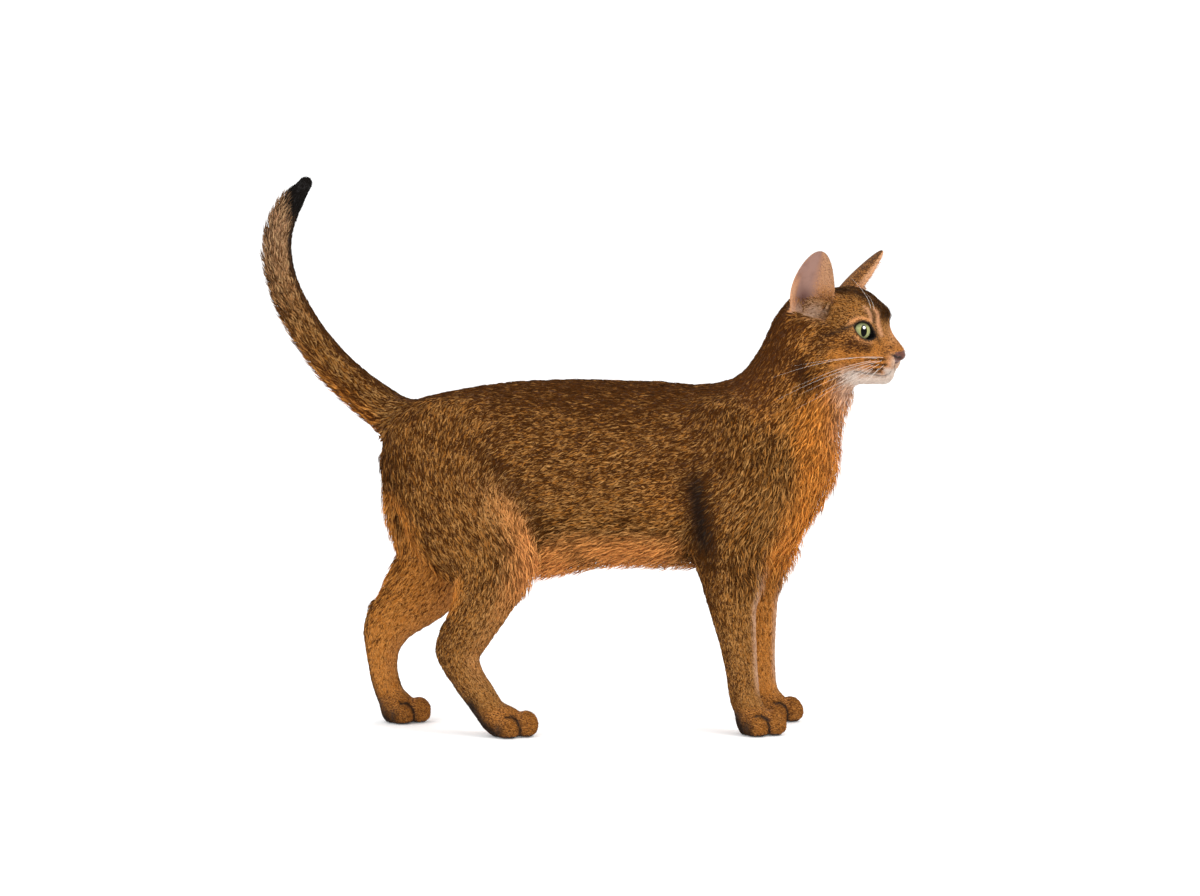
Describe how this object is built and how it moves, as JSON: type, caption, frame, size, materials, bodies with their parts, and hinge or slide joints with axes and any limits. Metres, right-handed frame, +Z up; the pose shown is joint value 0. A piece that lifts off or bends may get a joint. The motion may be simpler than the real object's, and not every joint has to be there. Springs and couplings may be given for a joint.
{
  "type": "short-haired cat standing, museum model",
  "caption": "Life-size short-haired cat with ticked brown coat, standing square with tail raised and head turned slightly.",
  "frame": {"origin": "on the floor under the middle of the bounding box", "axes": "+X the way the cat faces, +Y to the cat's left, +Z up"},
  "size_m": [0.5227, 0.117, 0.4556],
  "materials": {
    "coat_back": "short ticked fur, dark brown",
    "coat_leg": "short ticked fur, warm brown",
    "coat_face": "very short ticked fur",
    "coat_foot": "very short dense fur",
    "ear_skin": "thin bare skin with a downy back",
    "tail_tip": "short black fur",
    "nose_leather": "damp brick-brown skin",
    "eye": "wet gloss, green-gold iris"
  },
  "bodies": {
    "root": {"head": "coat_face", "nose": "nose_leather", "ear_left": "ear_skin", "ear_right": "ear_skin", "eye_left": "eye", "eye_right": "eye", "neck": "coat_back", "torso": "coat_back", "foreleg_left": "coat_leg", "foreleg_right": "coat_leg", "hindleg_left": "coat_leg", "hindleg_right": "coat_leg", "forepaw_left": "coat_foot", "forepaw_right": "coat_foot", "hindpaw_left": "coat_foot", "hindpaw_right": "coat_foot", "tail_base": "coat_back", "tail_middle": "coat_back", "tail_tip": "tail_tip"}
  },
  "joints": []
}
